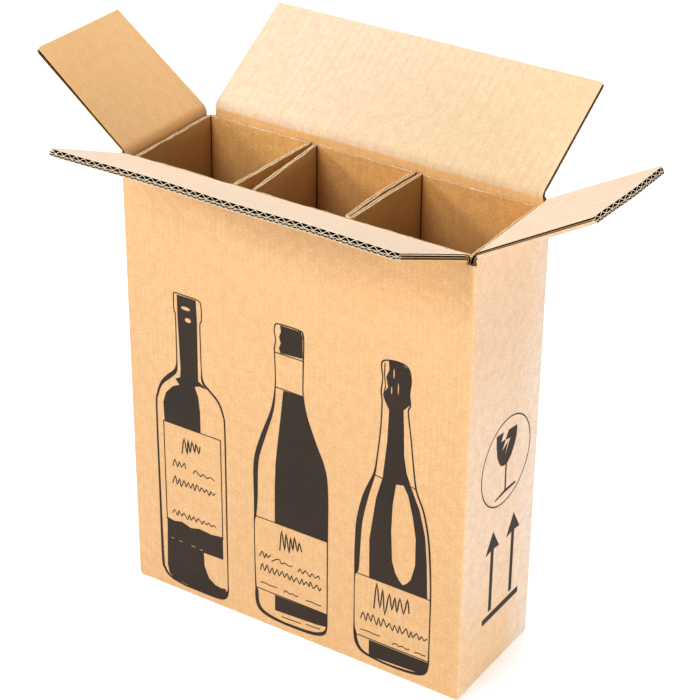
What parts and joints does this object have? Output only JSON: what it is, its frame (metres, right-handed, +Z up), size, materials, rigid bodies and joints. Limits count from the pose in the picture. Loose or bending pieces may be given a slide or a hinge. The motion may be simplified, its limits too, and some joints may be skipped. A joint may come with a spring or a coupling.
{
  "type": "wine shipping carton",
  "caption": "Upright double-wall corrugated carton with full-overlap top flaps standing open and a folded cell insert for wine bottles.",
  "frame": {"origin": "centre of the carton's base on the surface it stands on", "axes": "+X along the front panel to the right, -Y out of the front panel, +Z up"},
  "size_m": [0.4939, 0.2966, 0.4616],
  "materials": {
    "kraft_board": "matte kraft liner",
    "insert_board": "matte brown test liner"
  },
  "bodies": {
    "carton": {"case": "kraft_board", "insert": "insert_board"},
    "front": {"front_flap": "kraft_board"},
    "back": {"back_flap": "kraft_board"},
    "right": {"right_flap": "kraft_board"},
    "left": {"left_flap": "kraft_board"}
  },
  "joints": [
    {"name": "front_fold", "type": "hinge", "parent": "carton", "child": "front", "pos_m": [0, -0.0526, 0.3943], "axis": [1, 0, 0], "range_deg": [-156.5, 43.5]},
    {"name": "back_fold", "type": "hinge", "parent": "carton", "child": "back", "pos_m": [0, 0.0526, 0.4062], "axis": [-1, 0, 0], "range_deg": [-151.5, 48.5]},
    {"name": "right_fold", "type": "hinge", "parent": "carton", "child": "right", "pos_m": [0.1541, 0, 0.40025], "axis": [0, 1, 0], "range_deg": [-152.5, 47.5]},
    {"name": "left_fold", "type": "hinge", "parent": "carton", "child": "left", "pos_m": [-0.1541, 0, 0.40025], "axis": [0, -1, 0], "range_deg": [-145.5, 54.5]}
  ]
}
